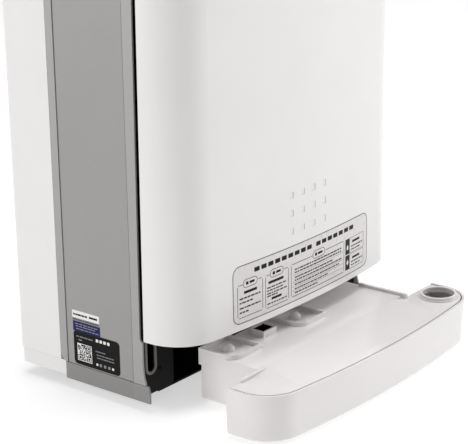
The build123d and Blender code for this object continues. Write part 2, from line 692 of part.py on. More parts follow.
def compressor_grommets():
    """Rubber grommets between the foot plate and the base pan."""
    made = []
    for x, y in compressor_feet():
        ring = rod_z(x, y, PAN_Z + PAN_T, COMPRESSOR_Z0, 7) - rod_z(x, y, 0, 60, 2.6)
        made.append(ring)
    return Compound(children=made)


def accumulator():
    """Suction accumulator standing beside the compressor."""
    x = COMPRESSOR_X + COMPRESSOR_R + 17
    can = fillet(rod_z(x, COMPRESSOR_Y, 60, 170, 15).edges(), 9)
    strap = block(COMPRESSOR_X + COMPRESSOR_R - 3, x, COMPRESSOR_Y - 5, COMPRESSOR_Y + 5, 110, 122)
    return can + strap


def suction_pipe():
    """Copper pipe from the evaporator down to the accumulator."""
    x = COMPRESSOR_X + COMPRESSOR_R + 17
    y = EVAPORATOR_Y + COIL_D / 2
    points = [(x, COMPRESSOR_Y, 170), (x, COMPRESSOR_Y, 188), (x, y, 208), (x, y, 268), (COIL_X1, y, 268)]
    return pipe(points, 7, PIPE_R)


def discharge_pipe():
    """Copper pipe from the compressor's top to the condenser."""
    y = CONDENSER_Y + COIL_D / 2
    x = COMPRESSOR_X - 18
    z = COMPRESSOR_Z1 + 3
    points = [(x, COMPRESSOR_Y, z - 15), (x, COMPRESSOR_Y, z), (x, 80, z), (132, 80, z)]
    points += [(132, 80, 294), (132, y, 294), (COIL_X1, y, 294)]
    return pipe(points, 7, PIPE_R)


def housing_posts(x_half, z):
    """Two posts that hold the blower housing or the duct to the front frame."""
    post = rod_y(x_half, z, FRAME_FRONT_Y + FRAME_T, HOUSING_Y0, 5)
    return post + mirrored(post)


def fan_housing():
    """Blower housing: a round scroll with an open top, an inlet behind and a motor hole in front."""
    outer = rod_y(0, FAN_Z, HOUSING_Y0, HOUSING_Y1, HOUSING_R)
    outer = outer + block(-HOUSING_R, HOUSING_R, HOUSING_Y0, HOUSING_Y1, FAN_Z, DUCT_Z0)
    inner_r = HOUSING_R - HOUSING_WALL
    inner_y = (HOUSING_Y0 + HOUSING_WALL, HOUSING_Y1 - HOUSING_WALL)
    inner = rod_y(0, FAN_Z, *inner_y, inner_r)
    inner = inner + block(-inner_r, inner_r, *inner_y, FAN_Z, DUCT_Z0 + 1)
    housing = outer - inner
    housing = housing - rod_y(0, FAN_Z, HOUSING_Y1 - 3, HOUSING_Y1 + 1, FAN_R - 8)
    housing = housing - rod_y(0, FAN_Z, HOUSING_Y0 - 1, HOUSING_Y0 + 3, 12)
    return housing + housing_posts(80, 300)


def outlet_duct():
    """Straight duct from the blower housing up to the finger guard."""
    top = HEIGHT - 13.2
    inner_r = HOUSING_R - HOUSING_WALL
    duct = block(-HOUSING_R, HOUSING_R, HOUSING_Y0, HOUSING_Y1, DUCT_Z0, top)
    inner_y = (HOUSING_Y0 + HOUSING_WALL, HOUSING_Y1 - HOUSING_WALL)
    duct = duct - block(-inner_r, inner_r, *inner_y, DUCT_Z0 - 1, top + 1)
    return duct + housing_posts(80, 470)


def fan_wheel():
    """Squirrel-cage fan wheel: a hub plate, a ring and a drum of blades."""
    plate = rod_y(0, FAN_Z, FAN_Y0, FAN_Y0 + 2, FAN_R)
    ring = rod_y(0, FAN_Z, FAN_Y1 - 3, FAN_Y1, FAN_R) - rod_y(0, FAN_Z, FAN_Y1 - 4, FAN_Y1 + 1, FAN_R - 10)
    hub = rod_y(0, FAN_Z, FAN_Y0, FAN_Y0 + 20, 11)
    wheel = plate + ring + hub
    blades = []
    for index in range(FAN_BLADES):
        blade = block(FAN_R - 9, FAN_R - 1, FAN_Y0 + 1, FAN_Y1 - 1, -0.7, 0.7)
        turn = Rot(0, 360 * index / FAN_BLADES, 0)
        blades.append(Pos(0, 0, FAN_Z) * turn * blade)
    wheel = wheel + blades
    return wheel - rod_y(0, FAN_Z, FAN_Y0 - 1, FAN_Y0 + 21, SHAFT_R)


def fan_shaft():
    """Motor shaft that carries the fan wheel."""
    return rod_y(0, FAN_Z, -16, FAN_Y0 + 20, SHAFT_R)


def fan_motor():
    """Flat fan motor in front of the frame plate, with a bearing nose round the shaft."""
    front = FRAME_FRONT_Y - 34
    can = fillet(rod_y(0, FAN_Z, front, FRAME_FRONT_Y - 2, MOTOR_R).edges(), 4)
    flange = rod_y(0, FAN_Z, FRAME_FRONT_Y - 4, FRAME_FRONT_Y, MOTOR_R + 6)
    nose = rod_y(0, FAN_Z, FRAME_FRONT_Y, FRAME_FRONT_Y + 8, 10)
    return can + flange + nose - rod_y(0, FAN_Z, -16.5, 30, SHAFT_R + RUNNING_FIT)


def electrics_box():
    """Closed box for the power board, on a foot."""
    box = block(-142, -72, 86, 122, 32, 186)
    return fillet(box.edges().filter_by(Axis.Z), 4) + block(-130, -84, 92, 116, PAN_Z + PAN_T, 32)


def run_capacitor():
    """Compressor run capacitor in its clip."""
    can = fillet(rod_z(-40, 118, 24, 96, 16).edges(), 2)
    return can + block(-58, -22, 104, 132, PAN_Z + PAN_T, 24)


def level_sensors():
    """Two magnetic sensors above the places of the float domes in the pushed-in tank."""
    made = []
    y = FLOAT_Y + TANK_OUT
    for x in TRAY_X:
        made.append(block(x - 9, x + 9, y - 7, y + 7, BAY_CEILING_Z + 2, BAY_CEILING_Z + 10))
    return Compound(children=made)


# ---------------------------------------------------------------- water tank
def tank_front_shell():
    """White front of the tank: a bowed shell with a slight draft and a rounded bottom edge."""
    top_face = Pos(0, 0, SHELL_Z1) * shell_outline(SHELL_END_Y)
    low_face = Pos(0, 0, SHELL_Z0) * shell_outline(SHELL_END_Y, SHELL_DRAFT)
    outer = loft([low_face, top_face])
    outer = fillet(low_edges(outer, SHELL_END_Y - 1), 4)
    inner_top = Pos(0, 0, SHELL_Z1 + 1) * shell_outline(SHELL_END_Y + 5, MOULD)
    inner_low = Pos(0, 0, SHELL_Z0 + MOULD) * shell_outline(SHELL_END_Y + 5, MOULD + SHELL_DRAFT)
    return outer - loft([inner_low, inner_top])


def tank_tub():
    """The water container: wide behind the front shell, narrower and deeper where it enters the bay."""
    front_inset = MOULD + SHELL_DRAFT + GAP
    overlap_y = -125
    front = prism(shell_outline(EAR_END_Y, front_inset), TUB_FRONT_Z0, TUB_FRONT_Z1)
    rear = block(TUB_LEFT_X, TUB_RIGHT_X, overlap_y, TUB_REAR_Y, TUB_REAR_Z0, TUB_REAR_Z1)
    round_edges = rear.edges().group_by(Axis.Z)[0].filter_by(lambda edge: edge.center().Y > overlap_y + 5)
    rear = fillet(round_edges, TUB_ROUND)
    rear = rear - block(-WIDTH, WIDTH, -WIDTH, SHELL_END_Y + GAP, 0, TUB_FRONT_Z0)
    rear = rear - block(-WIDTH, WIDTH, -WIDTH, EAR_END_Y + 2, TUB_FRONT_Z1, HEIGHT)
    well = (TUB_LEFT_X + TUB_WALL, TUB_RIGHT_X - TUB_WALL, overlap_y, TUB_REAR_Y - TUB_WALL)
    inside = block(*well, TUB_FLOOR_Z, HEIGHT)
    inside = inside + prism(shell_outline(EAR_END_Y - TUB_WALL, front_inset + TUB_WALL), TUB_FLOOR_Z, HEIGHT)
    return front + rear - inside


def lid_slope():
    """The slope between the lid's low front field and its higher rear field."""
    z = SHELL_Z1
    back = EAR_END_Y
    nose = SHELL_APEX_Y + 13
    low_right = LID_RIGHT_X + 7.6
    low = [(-140.0, back, z), (low_right, back, z), (low_right - 18, nose, z), (-128.0, nose, z)]
    high = [(EAR_RIB_X[1], back, LID_TOP_Z), (LID_RIGHT_X - 14.4, back, LID_TOP_Z)]
    faces = [
        [low[0], low[1], low[2], low[3]],
        [low[0], low[1], high[1], high[0]],
        [low[1], low[2], high[1]],
        [low[2], low[3], high[0], high[1]],
        [low[3], low[0], high[0]],
    ]
    return Solid(Shell([Face(Wire.make_polygon(points, close=True)) for points in faces]))


def lid_plate():
    """The lid without its fittings: a low front field, and a higher rear field with a skirt round the tub."""
    back = EAR_END_Y
    front = prism(shell_outline(back, MOULD + LID_JOINT), TUB_FRONT_Z1, SHELL_Z1)
    rear = block(LID_LEFT_X, LID_RIGHT_X, back, LID_REAR_Y, LID_SKIRT_Z, LID_TOP_Z)
    well = (LID_LEFT_X + LID_SKIRT_T, LID_RIGHT_X - LID_SKIRT_T, back - 1, LID_REAR_Y - LID_SKIRT_T)
    rear = rear - block(*well, LID_SKIRT_Z - 1, TUB_REAR_Z1)
    riser = block(LID_LEFT_X, LID_RIGHT_X, back, back + 2, TUB_FRONT_Z1 + 0.2, LID_TOP_Z)
    ear_rib = block(*EAR_RIB_X, back - 3, back, TUB_FRONT_Z1, SHELL_Z1 + 3.2)
    return front + rear + lid_slope() + riser + ear_rib


def float_tray(x):
    """Raised rim on the lid round one float dome, with a large radius at the front left corner."""
    left = x - TRAY_W / 2
    right = x + TRAY_W / 2
    rear = TRAY_Y0 + TRAY_D
    outer = block(left, right, TRAY_Y0, rear, LID_TOP_Z - 0.8, LID_TOP_Z + TRAY_H)
    outer = fillet(outer.edges().filter_by(Axis.Z).group_by(Axis.X)[0].sort_by(Axis.Y)[0], 13)
    inner = block(left + 2, right - 2, TRAY_Y0 + 2, rear - 2, LID_TOP_Z, LID_TOP_Z + TRAY_H + 1)
    inner = fillet(inner.edges().filter_by(Axis.Z).group_by(Axis.X)[0].sort_by(Axis.Y)[0], 11)
    return outer - inner


def inlet_block(inset, z0, z1):
    """The outline of the drip inlet box, set in by that much on every side."""
    half_x = INLET_W / 2 - inset
    half_y = INLET_D / 2 - inset
    return block(INLET_X - half_x, INLET_X + half_x, INLET_Y - half_y, INLET_Y + half_y, z0, z1)


def inlet_sleeve():
    """Black sleeve that lines the drip inlet."""
    z0 = TUB_REAR_Z1 - 1
    z1 = LID_TOP_Z + 5.0
    sleeve = inlet_block(INLET_WALL + 0.1, z0, z1)
    return sleeve - inlet_block(INLET_WALL + 0.9, z0 - 1, z1 + 1)


def tank_lid():
    """Lid of the tank, with two float trays, the drip inlet, a side bar and the pour opening."""
    lid = lid_plate()
    for x in TRAY_X:
        lid = lid + float_tray(x)
    lid = lid + inlet_block(0, LID_TOP_Z - 1, LID_TOP_Z + 5.6)
    lid = lid - inlet_block(INLET_WALL, LID_SKIRT_Z, LID_TOP_Z + 10)
    bar = (LID_RIGHT_X - 3.4, LID_RIGHT_X)
    lid = lid + block(*bar, EAR_END_Y, LID_REAR_Y - 18, TUB_REAR_Z1, LID_TOP_Z + 3)
    lid = lid + block(*bar, EAR_END_Y - 5.5, EAR_END_Y, SHELL_Z1 - 1, LID_TOP_Z + 3)
    for x in TRAY_X:
        lid = lid - rod_z(x, FLOAT_Y, 40, 60, STEM_R + 0.3)
    lid = lid - rod_z(RING_X, RING_Y, 40, 60, RING_BORE_R)
    edge = prism(shell_outline(EAR_END_Y + 5, MOULD), 44, 60)
    edge = edge - prism(shell_outline(EAR_END_Y + 9, MOULD + 3.6), 40, 70)
    return lid - (edge & block(158, 200, -137, -90, 40, 70))


def pour_ring():
    """Collar round the pour opening in the tank's right-hand corner."""
    ring = rod_z(RING_X, RING_Y, SHELL_Z1, SHELL_Z1 + 1.2, RING_R + 1.6)
    ring = ring + rod_z(RING_X, RING_Y, SHELL_Z1, SHELL_Z1 + 4.2, RING_R)
    ring = ring - rod_z(RING_X, RING_Y, SHELL_Z1 - 1, SHELL_Z1 + 6, RING_BORE_R)
    rim = ring.edges().group_by(Axis.Z)[-1]
    return fillet(rim, 0.8)


def float_unit(x):
    """One float: a dome above the lid, a stem through it and a hollow disc below."""
    above = block(x - 9, x + 9, FLOAT_Y - 9, FLOAT_Y + 9, LID_TOP_Z, LID_TOP_Z + 20)
    dome = Pos(x, FLOAT_Y, LID_TOP_Z) * Sphere(FLOAT_R) & above
    stem = rod_z(x, FLOAT_Y, 43, LID_TOP_Z + 1, STEM_R)
    disc = fillet(rod_z(x, FLOAT_Y, 34, 44, 13).edges(), 1.5)
    return dome + stem + disc


# ---------------------------------------------------------------- write every piece
def main():
    os.makedirs("parts", exist_ok=True)
    pieces = {
        "base_pan": base_pan(),
        "feet": feet(),
        "side_skirt_right": side_skirt(),
        "side_skirt_left": mirrored(side_skirt()),
        "rear_skirt": rear_skirt(),
        "side_panel_right": side_panel(),
        "side_panel_left": mirrored(side_panel()),
        "rear_casing": rear_casing(),
        "casing_screws": casing_screws(),
        "front_frame": front_frame(),
        "inlet_rim_right": inlet_rim(),
        "inlet_rim_left": mirrored(inlet_rim()),
        "tank_bay": tank_bay(),
        "front_cover": front_cover(),
        "top_cover": top_cover(),
        "outlet_guard": outlet_guard(),
        "outlet_flap": outlet_flap(),
        "control_panel": control_panel(),
        "display_window": display_window(),
        "control_board": control_board(),
        "carry_handle": carry_handle(),
        "intake_grille": intake_grille(),
        "air_filter": air_filter(),
        "drain_nozzle": drain_nozzle(),
        "drain_cap": drain_cap(),
        "cord_gland": cord_gland(),
        "evaporator_coil": coil(EVAPORATOR_Y),
        "condenser_coil": coil(CONDENSER_Y),
        "coil_bracket_left": coil_bracket(BRACKET_X[0]),
        "coil_bracket_right": coil_bracket(BRACKET_X[1]),
        "coil_rests": coil_rests(),
        "drip_tray": drip_tray(),
        "compressor": compressor(),
        "compressor_grommets": compressor_grommets(),
        "accumulator": accumulator(),
        "suction_pipe": suction_pipe(),
        "discharge_pipe": discharge_pipe(),
        "fan_housing": fan_housing(),
        "outlet_duct": outlet_duct(),
        "fan_wheel": fan_wheel(),
        "fan_shaft": fan_shaft(),
        "fan_motor": fan_motor(),
        "electrics_box": electrics_box(),
        "run_capacitor": run_capacitor(),
        "level_sensors": level_sensors(),
        "tank_front_shell": tank_front_shell(),
        "tank_tub": tank_tub(),
        "tank_lid": tank_lid(),
        "pour_ring": pour_ring(),
        "inlet_sleeve": inlet_sleeve(),
        "float_left": float_unit(TRAY_X[0]),
        "float_right": float_unit(TRAY_X[1]),
    }
    for number, x in enumerate(BUTTON_X, start=1):
        pieces[f"button_{number}"] = button(x)
    for name, shape in pieces.items():
        save(name, shape)


main()
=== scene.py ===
import json
import math
import random

import bmesh
import bpy
from mathutils import Matrix, Vector


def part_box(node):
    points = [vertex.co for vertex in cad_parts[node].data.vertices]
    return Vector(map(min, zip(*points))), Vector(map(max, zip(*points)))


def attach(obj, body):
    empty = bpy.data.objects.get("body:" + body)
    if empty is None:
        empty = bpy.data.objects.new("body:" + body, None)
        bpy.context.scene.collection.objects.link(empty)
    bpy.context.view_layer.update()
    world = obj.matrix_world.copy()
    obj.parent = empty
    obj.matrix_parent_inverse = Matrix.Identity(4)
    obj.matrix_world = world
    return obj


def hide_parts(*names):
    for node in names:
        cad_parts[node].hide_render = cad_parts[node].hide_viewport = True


# The looks of the dehumidifier: materials for the CAD nodes, printed labels, coil fins, filter mesh,
# camera and light. Lengths of the object are in millimetres here and become metres in point().

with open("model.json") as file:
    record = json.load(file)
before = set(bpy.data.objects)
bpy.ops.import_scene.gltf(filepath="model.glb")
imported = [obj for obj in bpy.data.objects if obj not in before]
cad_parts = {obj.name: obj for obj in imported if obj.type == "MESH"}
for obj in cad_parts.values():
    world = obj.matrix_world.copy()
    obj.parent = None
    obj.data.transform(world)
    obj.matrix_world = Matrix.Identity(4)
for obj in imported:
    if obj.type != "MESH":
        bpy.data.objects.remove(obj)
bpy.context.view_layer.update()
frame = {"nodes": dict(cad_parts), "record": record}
nodes = frame["nodes"]
MM = 0.001

# ---------------------------------------------------------------- dimensions shared with the CAD
COVER_APEX_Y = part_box("front_cover")[0].y / MM
COVER_ARC = 1150.0             # radius of the bowed front, seen from above
PANEL_FIELD_X = -174.5         # flat field of the left side panel
PANEL_TOP_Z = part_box("control_panel")[1].z / MM
SKIRT_TOP_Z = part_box("side_skirt_left")[1].z / MM
BUTTON_X = (-78.0, -56.0, -34.0, 56.0, 78.0)
BUTTON_Y = -19.0
COIL_BENDS = 8                 # return bends up each end of a coil
COIL_TUBE_R = 3.5
FIN_PITCH = 2.0
FIN_T = 0.2
THREAD_PITCH = 1.3             # filter mesh
THREAD_T = 0.3
FILTER_BORDER = 6.0            # filter frame
FILTER_BAYS = 4
RIB_HALF = 1.2


def srgb(red, green, blue):
    """Display values from 0 to 255 as a linear colour."""
    linear = []
    for value in (red / 255, green / 255, blue / 255):
        linear.append(value / 12.92 if value <= 0.04045 else ((value + 0.055) / 1.055) ** 2.4)
    return (*linear, 1.0)


def scaled(colour, factor):
    return tuple(min(1.0, part * factor) for part in colour[:3]) + (1.0,)


def point(x, y, z):
    return Vector((x, y, z)) * MM


# ---------------------------------------------------------------- materials
class Graph:
    """A new material's node tree with short calls to add and join nodes."""

    def __init__(self, name):
        self.material = bpy.data.materials.new(name)
        self.material.use_nodes = True
        self.tree = self.material.node_tree
        self.shader = self.tree.nodes["Principled BSDF"]
        self.place = self.tree.nodes.new("ShaderNodeTexCoord").outputs["Object"]

    def add(self, kind, values, **settings):
        """A node of that kind. A value is a number, a colour or another node's output."""
        node = self.tree.nodes.new("ShaderNode" + kind)
        for key, value in settings.items():
            setattr(node, key, value)
        for key, value in values.items():
            self.set(node.inputs[key], value)
        return node

    def set(self, socket, value):
        if isinstance(value, bpy.types.NodeSocket):
            self.tree.links.new(value, socket)
        else:
            socket.default_value = value

    def shade(self, **values):
        for key, value in values.items():
            self.set(self.shader.inputs[key.replace("_", " ")], value)

    def noise(self, size, detail=3.0, stretch=None):
        """Noise with features of about that size in millimetres, from 0 to 1."""
        where = self.place
        if stretch:
            where = self.add("Mapping", {"Vector": self.place, "Scale": stretch}).outputs["Vector"]
        node = self.add("TexNoise", {"Vector": where, "Scale": 1 / (size * MM), "Detail": detail})
        return node.outputs[0]

    def spread(self, value, low, high, start=0.3, end=0.7):
        """Maps value from start..end to low..high."""
        values = {"Value": value, "From Min": start, "From Max": end, "To Min": low, "To Max": high}
        return self.add("MapRange", values).outputs["Result"]

    def blend(self, share, first, second):
        node = self.add("Mix", {}, data_type="RGBA")
        self.set(node.inputs[0], share)
        self.set(node.inputs[6], first)
        self.set(node.inputs[7], second)
        return node.outputs[2]

    def edges(self, radius):
        """Normals rounded over the edges, and a mask that is 1 where the surface turns sharply."""
        round_normal = self.add("Bevel", {"Radius": radius * MM}, samples=4).outputs["Normal"]
        flat_normal = self.add("NewGeometry", {}).outputs["Normal"]
        dot = self.add("VectorMath", {0: round_normal, 1: flat_normal}, operation="DOT_PRODUCT")
        return round_normal, self.spread(dot.outputs["Value"], 1.0, 0.0, 0.80, 0.995)

    def relief(self, height, depth, strength, normal=None):
        values = {"Height": height, "Distance": depth * MM, "Strength": strength}
        if normal is not None:
            values["Normal"] = normal
        return self.add("Bump", values).outputs["Normal"]


def moulded(name, colour, rough, grain=0.5, depth=0.02, shade=0.04, edge=0.5, worn=1.06, occluded_tone=0.88):
    """Moulded plastic: uneven tone, fine surface grain, polished edges and painted shade in the corners."""
    g = Graph(name)
    tone = g.blend(g.spread(g.noise(60), 0, 1), scaled(colour, 1 - shade), scaled(colour, 1 + shade))
    normal, edge_mask = g.edges(edge)
    speck = g.spread(g.noise(1.2, 2), 0, 1, 0.45, 0.75)
    edge_share = g.add("Math", {0: edge_mask, 1: speck}, operation="MULTIPLY").outputs[0]
    tone = g.blend(edge_share, tone, scaled(colour, worn))
    # painted shade: the tone darkens where nearby surfaces hem the point in
    corner = g.add("AmbientOcclusion", {"Distance": 7 * MM}, samples=4).outputs["AO"]
    painted_corner_shade = g.spread(corner, 1.0, 0.0, 0.25, 0.85)
    tone = g.blend(painted_corner_shade, tone, scaled(colour, occluded_tone))
    roughness = g.spread(g.noise(9), rough * 0.86, rough * 1.14)
    g.shade(Base_Color=tone, Roughness=roughness, Normal=g.relief(g.noise(grain, 2), depth, 0.6, normal))
    return g


# painted highlight: the side panel's front strip and rear rib are drawn a touch lighter
PANEL_HIGHLIGHT_BANDS = (9.0, 93.0)      # y of the side panel's front fold and rear rib
BAND_HIGHLIGHT = 1.16
# painted shade: the skirt below the side panel is drawn darker
SKIRT_SHADE = 0.74


def painted(name, colour, rough=0.42, metal=0.35, highlight_bands=None, shaded_below=None):
    """Metallic paint on sheet: fine flakes, a little orange peel and rubbed edges.

    In front of the first and behind the second of the given y values, a painted highlight makes the paint a
    touch lighter.
    Below the given height, on the skirt, painted shade makes the paint a little darker.
    """
    g = Graph(name)
    flake = g.add("TexVoronoi", {"Vector": g.place, "Scale": 1 / (0.45 * MM)}).outputs["Color"]
    flake = g.add("SeparateColor", {"Color": flake}).outputs[0]
    tone = g.blend(g.spread(flake, 0, 1, 0, 1), scaled(colour, 0.94), scaled(colour, 1.06))
    wide = g.spread(g.noise(110, 2), 0, 1)
    tone = g.blend(wide, tone, scaled(colour, 1.03))
    # painted highlight on the front strip and the rear rib
    if highlight_bands:
        y = g.add("SeparateXYZ", {"Vector": g.place}).outputs["Y"]
        front = g.spread(y, 1, 0, (highlight_bands[0] - 0.1) * MM, (highlight_bands[0] + 0.1) * MM)
        rear = g.spread(y, 0, 1, (highlight_bands[1] - 0.1) * MM, (highlight_bands[1] + 0.1) * MM)
        share = g.add("Math", {0: front, 1: rear}, operation="MAXIMUM").outputs[0]
        tone = g.blend(share, tone, scaled(colour, BAND_HIGHLIGHT))
    # painted shade on the skirt
    if shaded_below:
        z = g.add("SeparateXYZ", {"Vector": g.place}).outputs["Z"]
        tone = g.blend(g.spread(z, 0.75, 0, (shaded_below - 0.2) * MM, shaded_below * MM), tone, scaled(colour, SKIRT_SHADE))
    normal, edge_mask = g.edges(0.5)
    rub = g.spread(g.noise(3, 3), 0, 0.7, 0.45, 0.75)
    edge_share = g.add("Math", {0: edge_mask, 1: rub}, operation="MULTIPLY").outputs[0]
    tone = g.blend(edge_share, tone, scaled(colour, 1.35))
    roughness = g.spread(g.noise(14), rough - 0.04, rough + 0.05)
    g.shade(Base_Color=tone, Roughness=roughness, Metallic=metal)
    g.shade(Normal=g.relief(g.noise(1.1, 1), 0.015, 0.5, normal))
    return g


def metal(name, colour, rough, stain, stretch=None, spangle=0.0):
    """Bare metal with tarnish; spangle adds the large crystals of zinc plating."""
    g = Graph(name)
    tone = g.blend(g.spread(g.noise(7, 5), 0, 1, 0.4, 0.7), colour, stain)
    if spangle:
        cell = g.add("TexVoronoi", {"Vector": g.place, "Scale": 1 / (spangle * MM)}).outputs["Color"]
        cell = g.add("SeparateColor", {"Color": cell}).outputs[0]
        tone = g.blend(g.spread(cell, 0, 0.35, 0, 1), tone, scaled(colour, 0.75))
    normal, edge_mask = g.edges(0.3)
    tone = g.blend(edge_mask, tone, scaled(colour, 1.1))
    g.shade(Base_Color=tone, Metallic=1.0, Roughness=g.spread(g.noise(4), rough * 0.8, rough * 1.3))
    g.shade(Normal=g.relief(g.noise(0.6, 3, stretch), 0.02, 0.5, normal))
    return g


def rubber(name, colour):
    """Matt rubber with a pebbled skin and a pale bloom."""
    g = Graph(name)
    bloom = g.spread(g.noise(5, 4), 0, 0.5, 0.5, 0.8)
    normal, edge_mask = g.edges(0.4)
    tone = g.blend(bloom, colour, scaled(colour, 2.2))
    tone = g.blend(edge_mask, tone, scaled(colour, 1.8))
    g.shade(Base_Color=tone, Roughness=g.spread(g.noise(2), 0.62, 0.8))
    g.shade(Normal=g.relief(g.noise(0.4, 2), 0.05, 0.7, normal))
    return g


def circuit_board(name):
    """Green solder mask over copper tracks."""
    g = Graph(name)
    tracks = g.add("TexBrick", {"Vector": g.place, "Scale": 1 / (9 * MM), "Mortar Size": 0.06})
    tone = g.blend(tracks.outputs["Fac"], srgb(14, 84, 48), srgb(40, 128, 74))
    g.shade(Base_Color=tone, Roughness=g.spread(g.noise(6), 0.28, 0.4))
    g.shade(Normal=g.relief(tracks.outputs["Fac"], 0.04, 0.6))
    return g


def printed(name, colour, rough=0.4, change=0.08):
    """Ink or film of one colour with the slight unevenness of print."""
    g = Graph(name)
    tone = g.blend(g.spread(g.noise(2.5, 4), 0, 1), scaled(colour, 1 - change), scaled(colour, 1 + change))
    g.shade(Base_Color=tone, Roughness=g.spread(g.noise(5), rough - 0.05, rough + 0.06))
    g.shade(Normal=g.relief(g.noise(0.3, 2), 0.004, 0.5))
    return g


def glowing(name, colour, power):
    """Lit display segments, a little brighter in some spots."""
    g = printed(name, colour, 0.3)
    g.shade(Emission_Color=colour, Emission_Strength=power)
    return g


WHITE_COVER = srgb(233, 231, 230)
WHITE_CASING = srgb(232, 229, 229)
WHITE_TANK = srgb(229, 226, 225)
PAINT_GREY = srgb(150, 148, 147)
BLACK = srgb(11, 11, 12)

cover_gloss = moulded("cover_gloss", WHITE_COVER, 0.16, grain=2.2, depth=0.006, shade=0.012, occluded_tone=0.93)
cover_gloss.shade(Coat_Weight=0.35, Coat_Roughness=0.06)
smoked = moulded("smoked_window", srgb(14, 14, 16), 0.1, grain=3, depth=0.003, worn=1.3)
smoked.shade(Coat_Weight=0.5, Coat_Roughness=0.04)
materials = {
    "cover_white": cover_gloss,
    "casing_white": moulded("casing_satin", WHITE_CASING, 0.34, shade=0.015),
    "tank_white": moulded("tank_satin", WHITE_TANK, 0.2, grain=2.2, depth=0.006, shade=0.012, occluded_tone=0.93),
    "panel_grey": painted("panel_paint", PAINT_GREY, highlight_bands=PANEL_HIGHLIGHT_BANDS, shaded_below=SKIRT_TOP_Z),
    "rim_grey": moulded("rim_grey", srgb(104, 100, 96), 0.4),
    "black_plastic": moulded("black_moulding", BLACK, 0.5, depth=0.03, shade=0.15, worn=1.8, occluded_tone=0.7),
    "panel_dark": moulded("panel_dark", srgb(48, 49, 52), 0.22, grain=1.2, depth=0.008, worn=1.5),
    "window_smoke": smoked,
    "button_grey": moulded("button_grey", srgb(196, 197, 199), 0.45, depth=0.03, worn=1.15),
    "rubber_black": rubber("rubber_black", srgb(28, 28, 29)),
    "copper": metal("copper_tube", srgb(198, 120, 82), 0.28, srgb(120, 66, 44)),
    "fin_aluminium": metal("fin_aluminium", srgb(205, 207, 209), 0.34, srgb(176, 178, 180), (1, 1, 0.05)),
    "steel_plate": metal("zinc_plate", srgb(178, 180, 182), 0.38, srgb(150, 151, 150), None, 6.0),
    "can_black": painted("can_black", srgb(24, 24, 25), 0.35, 0.0),
    "board_green": circuit_board("board_green"),
    "filter_mesh": moulded("filter_nylon", srgb(62, 64, 68), 0.6, shade=0.1, edge=0.2, worn=1.4),
    "inner_grey": moulded("inner_grey", srgb(168, 168, 167), 0.45, shade=0.04),
}
for part in frame["record"]["subparts"]:
    for material_slot in nodes[part["node"]].material_slots:
        material_slot.link = "OBJECT"
        material_slot.material = materials[part["material_slot"]].material

label_film = printed("label_film", srgb(222, 218, 218), 0.3, 0.015)
ink_black = printed("ink_black", srgb(12, 12, 12), 0.35)
ink_grey = printed("ink_grey", srgb(34, 32, 32), 0.4)
ink_white = printed("ink_white", srgb(232, 230, 229), 0.35, 0.03)
ink_silver = printed("ink_silver", srgb(128, 127, 126), 0.35)
ink_blue = printed("ink_blue", srgb(28, 32, 88), 0.3)
sticker_black = printed("sticker_black", srgb(5, 5, 6), 0.4)
DULL_SPECULAR = 0.12           # keeps the darkest surfaces dark under the studio light
for dark in (ink_grey, ink_black, ink_blue, sticker_black, materials["black_plastic"]):
    dark.shade(Specular_IOR_Level=DULL_SPECULAR)
display_light = glowing("display_light", srgb(196, 232, 240), 1.2)


# ---------------------------------------------------------------- thin printed shapes
def on_cover(x, z, lift):
    """A point on the bowed front of the cover."""
    centre_y = COVER_APEX_Y + COVER_ARC
    return point(x, centre_y - math.sqrt((COVER_ARC + lift) ** 2 - x * x), z)


def on_label(u, v, lift):
    return on_cover(u + LABEL_SHIFT[0], v + LABEL_SHIFT[1], lift)


def on_side(y, z, lift):
    return point(PANEL_FIELD_X - lift, y, z)


def on_panel(x, y, lift):
    return point(x, y, PANEL_TOP_Z + lift)


def rounded(u0, u1, v0, v1, radius, step=6.0):
    """Upper and lower edge of a rectangle with round corners, at the same stations along u."""
    stations = [u0 + radius * (1 - math.cos(math.radians(a))) for a in range(0, 90, 15)] if radius else []
    middle = max(1, math.ceil((u1 - u0 - 2 * radius) / step))
    run = [u0 + radius + (u1 - u0 - 2 * radius) * i / middle for i in range(middle + 1)]
    stations = stations + run + [u0 + u1 - u for u in reversed(stations)]
    upper, lower = [], []
    for u in stations:
        reach = max(0.0, radius - min(u - u0, u1 - u))
        rise = radius - math.sqrt(max(0.0, radius * radius - reach * reach))
        upper.append((u, v1 - rise))
        lower.append((u, v0 + rise))
    return upper, lower


